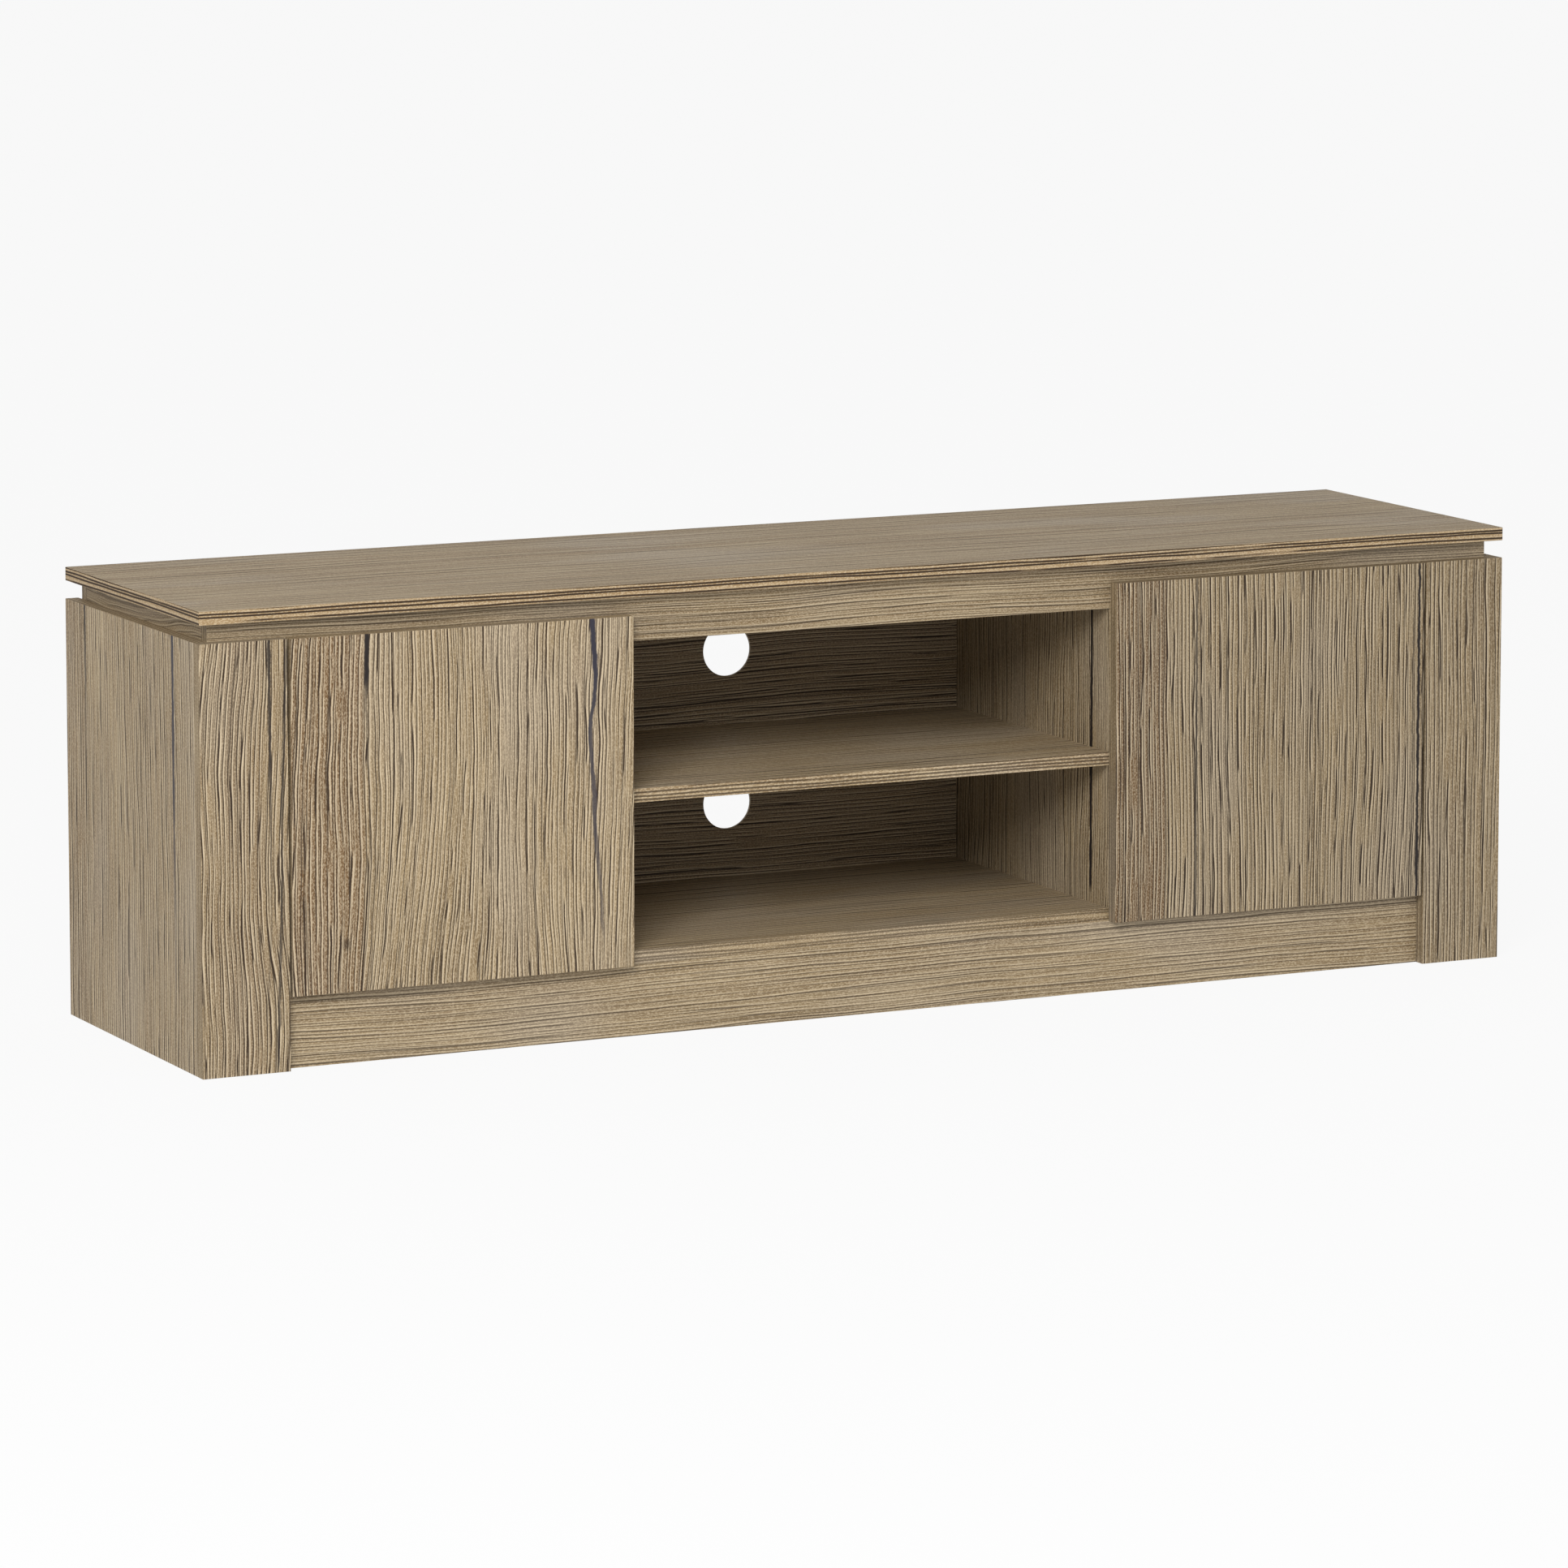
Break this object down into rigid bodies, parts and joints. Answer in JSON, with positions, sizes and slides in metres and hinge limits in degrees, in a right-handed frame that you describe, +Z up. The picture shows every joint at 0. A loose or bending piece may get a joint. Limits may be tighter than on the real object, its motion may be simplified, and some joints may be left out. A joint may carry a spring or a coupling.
{
  "type": "media cabinet",
  "caption": "Low wood-grain media cabinet with an open shelved centre bay, hinged doors at both ends, a shadow gap under the top and a recessed plinth.",
  "frame": {"origin": "middle of the footprint on the floor", "axes": "+X along the width to the right seen from the front, +Y from front to back, +Z up"},
  "size_m": [1.6, 0.4, 0.5],
  "materials": {
    "oak_upright": "matt, embossed grain, upright",
    "oak_lengthwise": "matt, embossed grain, along the width",
    "back_board": "matt printed hardboard",
    "hinge_steel": "nickel plated",
    "screw_steel": "zinc plated",
    "cam_zinc": "die cast",
    "dowel_beech": "raw",
    "clear_buffer": "soft, translucent"
  },
  "bodies": {
    "carcass": {"top_panel": "oak_lengthwise", "side_panel_left": "oak_upright", "front_stile_left": "oak_upright", "hinge_post_left": "oak_upright", "divider_left": "oak_upright", "end_rail_left": "oak_lengthwise", "plinth_brace_left": "oak_lengthwise", "side_shelf_left": "oak_lengthwise", "back_panel_left": "back_board", "hinge_arms_left": "hinge_steel", "hinge_plates_left": "hinge_steel", "plate_screws_left": "screw_steel", "arm_adjusters_left": "screw_steel", "shelf_pins_left": "screw_steel", "side_panel_right": "oak_upright", "front_stile_right": "oak_upright", "hinge_post_right": "oak_upright", "divider_right": "oak_upright", "end_rail_right": "oak_lengthwise", "plinth_brace_right": "oak_lengthwise", "side_shelf_right": "oak_lengthwise", "back_panel_right": "back_board", "hinge_arms_right": "hinge_steel", "hinge_plates_right": "hinge_steel", "plate_screws_right": "screw_steel", "arm_adjusters_right": "screw_steel", "shelf_pins_right": "screw_steel", "bottom_panel": "oak_lengthwise", "plinth_front": "oak_lengthwise", "plinth_rear": "oak_lengthwise", "front_rail": "oak_lengthwise", "rear_rail": "oak_lengthwise", "centre_shelf": "oak_lengthwise", "back_panel_centre": "back_board", "wood_dowels": "dowel_beech", "cam_discs": "cam_zinc", "cam_bolts": "screw_steel", "back_tacks": "screw_steel"},
    "left_door": {"door_left": "oak_upright", "hinge_cups_left": "hinge_steel", "cup_screws_left": "screw_steel", "door_buffers_left": "clear_buffer"},
    "right_door": {"door_right": "oak_upright", "hinge_cups_right": "hinge_steel", "cup_screws_right": "screw_steel", "door_buffers_right": "clear_buffer"}
  },
  "joints": [
    {"name": "left_door_hinge", "type": "hinge", "parent": "carcass", "child": "left_door", "pos_m": [-0.693, -0.199, 0.2725], "axis": [0, 0, -1], "range_deg": [0, 95]},
    {"name": "right_door_hinge", "type": "hinge", "parent": "carcass", "child": "right_door", "pos_m": [0.693, -0.199, 0.2725], "axis": [0, 0, 1], "range_deg": [0, 95]}
  ]
}
